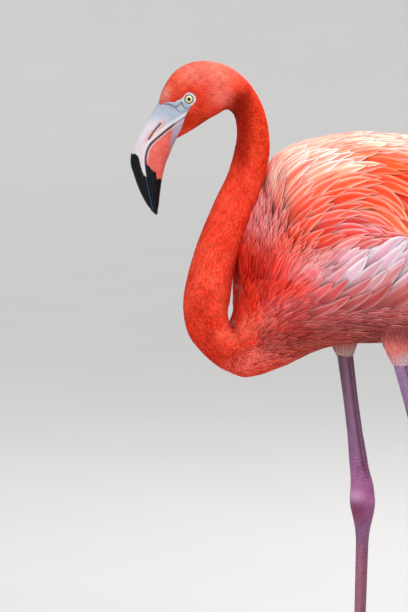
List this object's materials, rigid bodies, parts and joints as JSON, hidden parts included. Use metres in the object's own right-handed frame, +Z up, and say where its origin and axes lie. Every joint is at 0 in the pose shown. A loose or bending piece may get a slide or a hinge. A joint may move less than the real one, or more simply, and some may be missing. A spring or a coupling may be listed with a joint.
{
  "type": "flamingo model",
  "caption": "Life-size standing flamingo model with a lowered head on a looped neck, folded wings, long legs and webbed feet.",
  "frame": {"origin": "on the floor, under the middle of the whole bird's box", "axes": "+Z up; the bird faces -X, so its left side is -Y"},
  "size_m": [0.655, 0.183, 0.7712],
  "materials": {
    "neck_feathers": "velvety short feathers, orange-red",
    "body_feathers": "soft overlapping feathers, coral with pale edges",
    "wing_feathers": "long pointed feathers, orange with near-white edges",
    "tail_feathers": "flat feathers, pale pink",
    "cuff_feathers": "short soft feathers, cream and pink",
    "leg_skin": "scaly skin, mauve pink",
    "bill_horn": "smooth horn, pale grey and pink with a black tip",
    "claw_horn": "smooth dark horn",
    "eye": "wet, pale yellow with a black pupil"
  },
  "bodies": {
    "root": {"head": "neck_feathers", "bill_upper": "bill_horn", "bill_lower": "bill_horn", "eye_left": "eye", "eye_right": "eye", "neck_upper": "neck_feathers", "neck_middle": "neck_feathers", "neck_lower": "neck_feathers", "wing_left": "wing_feathers", "wing_right": "wing_feathers", "tail": "tail_feathers", "thigh_left": "cuff_feathers", "shank_left": "leg_skin", "tarsus_left": "leg_skin", "foot_left": "leg_skin", "claw_left_inner": "claw_horn", "claw_left_middle": "claw_horn", "claw_left_outer": "claw_horn", "claw_left_hind": "claw_horn", "thigh_right": "cuff_feathers", "shank_right": "leg_skin", "tarsus_right": "leg_skin", "foot_right": "leg_skin", "claw_right_inner": "claw_horn", "claw_right_middle": "claw_horn", "claw_right_outer": "claw_horn", "claw_right_hind": "claw_horn", "trunk": "body_feathers"}
  },
  "joints": []
}
